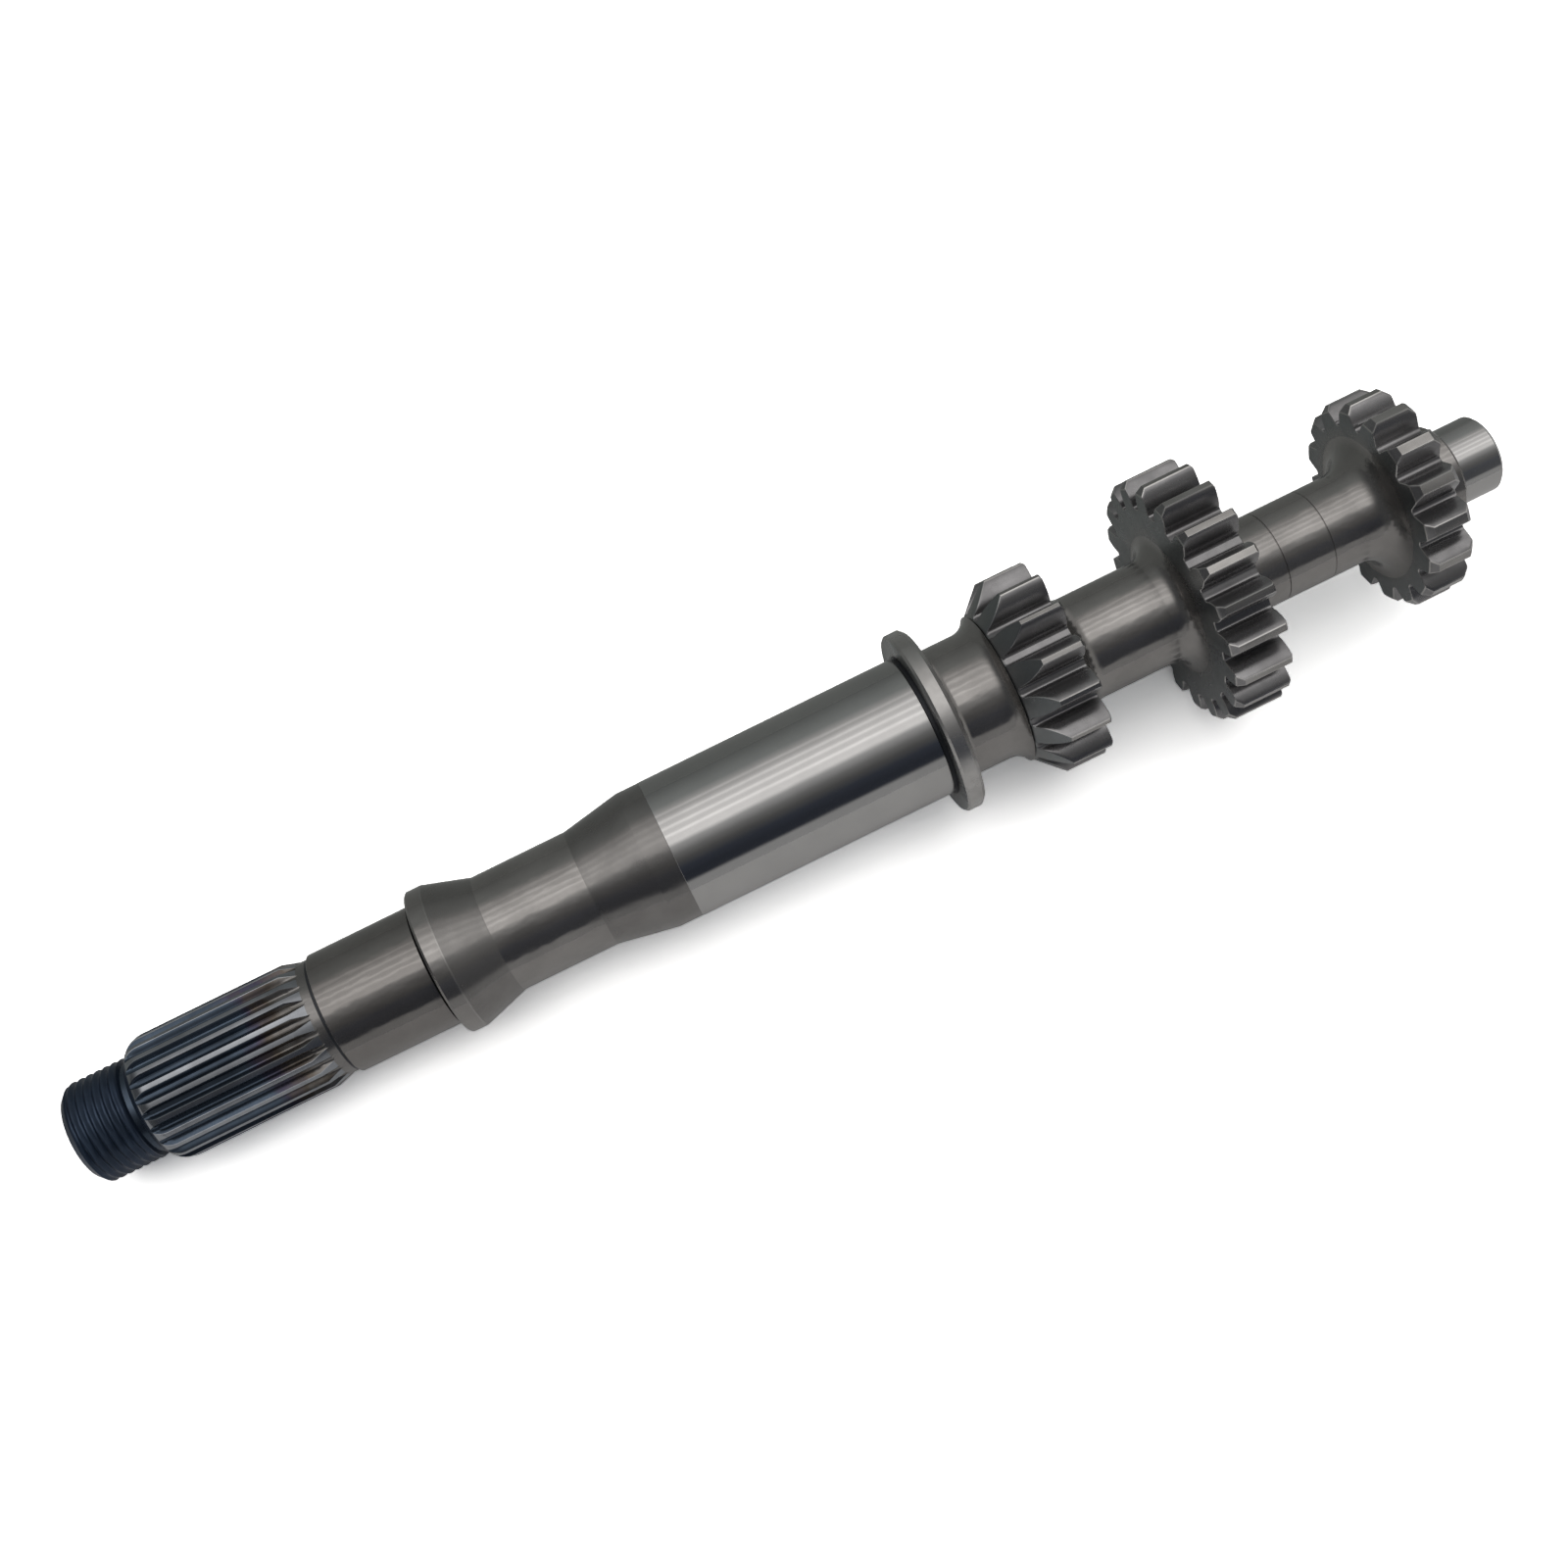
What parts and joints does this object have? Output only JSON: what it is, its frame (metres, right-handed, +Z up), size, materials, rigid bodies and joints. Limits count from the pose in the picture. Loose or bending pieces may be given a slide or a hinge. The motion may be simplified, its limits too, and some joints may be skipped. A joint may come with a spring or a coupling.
{
  "type": "transmission main shaft",
  "caption": "One-piece steel transmission main shaft with a threaded end, straight spline, ground bearing seat, thrust flange, spur gears cut into it and a plain end journal.",
  "frame": {"origin": "on the shaft's axis, at the thrust face of the flange", "axes": "+X along the shaft as it lies, from the threaded end to the plain journal; +Z up; the axis rises by 3.28 degrees towards +X"},
  "size_m": [0.2624, 0.0442, 0.0445],
  "materials": {
    "shaft_steel": "turned and ground steel, grey-brown on the necks, blued dark at the thread and spline, bright on the bearing seat and the end journal"
  },
  "bodies": {
    "root": {"main_shaft": "shaft_steel"}
  },
  "joints": []
}
